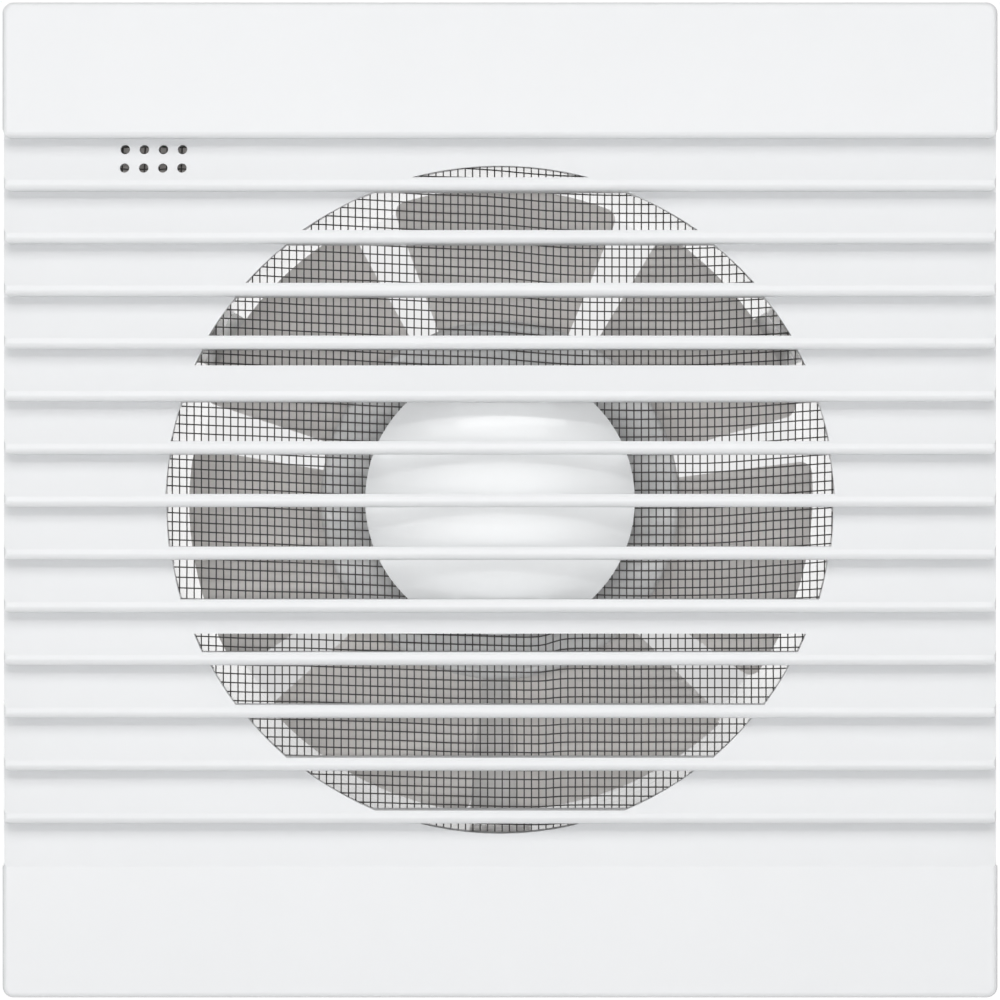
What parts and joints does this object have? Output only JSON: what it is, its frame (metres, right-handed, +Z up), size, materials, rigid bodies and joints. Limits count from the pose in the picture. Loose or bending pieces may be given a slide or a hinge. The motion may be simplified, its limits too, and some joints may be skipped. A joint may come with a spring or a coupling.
{
  "type": "bathroom exhaust fan",
  "caption": "Square white wall exhaust fan: louvred snap-off front with a round meshed opening and hub dome, axial impeller on an induction motor, round duct spigot behind.",
  "frame": {"origin": "on the fan axis in the wall plane (rear face of the wall plate)", "axes": "+Y along the duct away from the room, front towards -Y, +Z up"},
  "size_m": [0.18, 0.102, 0.18],
  "materials": {
    "cover_white": "satin",
    "dome_white": "gloss",
    "screen_wire": "satin",
    "housing_white": "satin",
    "impeller_grey": "satin",
    "frame_white": "satin",
    "lamination_steel": "satin",
    "bobbin_nylon": "satin",
    "winding_copper": "gloss",
    "ring_copper": "satin",
    "shield_zinc": "satin",
    "bush_bronze": "satin",
    "fastener_steel": "satin",
    "shaft_steel": "gloss",
    "cage_aluminium": "satin",
    "washer_nylon": "satin",
    "lead_insulation": "satin",
    "block_plastic": "satin",
    "screw_brass": "satin",
    "board_green": "satin",
    "capacitor_yellow": "gloss",
    "sensor_white": "satin",
    "grommet_rubber": "matte",
    "clamp_plastic": "satin"
  },
  "bodies": {
    "housing": {"housing": "housing_white", "stator_core": "lamination_steel", "coil_bobbins": "bobbin_nylon", "coil_windings": "winding_copper", "shading_rings": "ring_copper", "front_end_shield": "shield_zinc", "rear_end_shield": "shield_zinc", "front_bearing": "bush_bronze", "rear_bearing": "bush_bronze", "motor_bolts": "fastener_steel", "motor_nuts": "fastener_steel", "motor_cap": "housing_white", "motor_leads": "lead_insulation", "terminal_block": "block_plastic", "terminal_screws": "screw_brass", "control_board": "board_green", "link_pins": "fastener_steel", "board_capacitor": "capacitor_yellow", "humidity_sensor": "sensor_white", "board_screws": "fastener_steel", "cable_grommet": "grommet_rubber", "cable_clamp": "clamp_plastic", "clamp_screws": "fastener_steel"},
    "impeller": {"impeller": "impeller_grey", "rotor_core": "lamination_steel", "rotor_end_rings": "cage_aluminium", "motor_shaft": "shaft_steel", "thrust_washers": "washer_nylon", "push_nut": "fastener_steel"},
    "front_cover": {"front_cover": "cover_white", "hub_dome": "dome_white", "insect_screen": "screen_wire", "sensor_screen": "screen_wire", "screen_frame": "frame_white", "patch_holder": "frame_white"}
  },
  "joints": [
    {"name": "impeller_spin", "type": "hinge", "parent": "housing", "child": "impeller", "pos_m": [0, 0, 0], "axis": [0, -1, 0], "continuous": true},
    {"name": "cover_pull", "type": "slide", "parent": "housing", "child": "front_cover", "axis": [0, -1, 0], "range_m": [0, 0.06]}
  ]
}
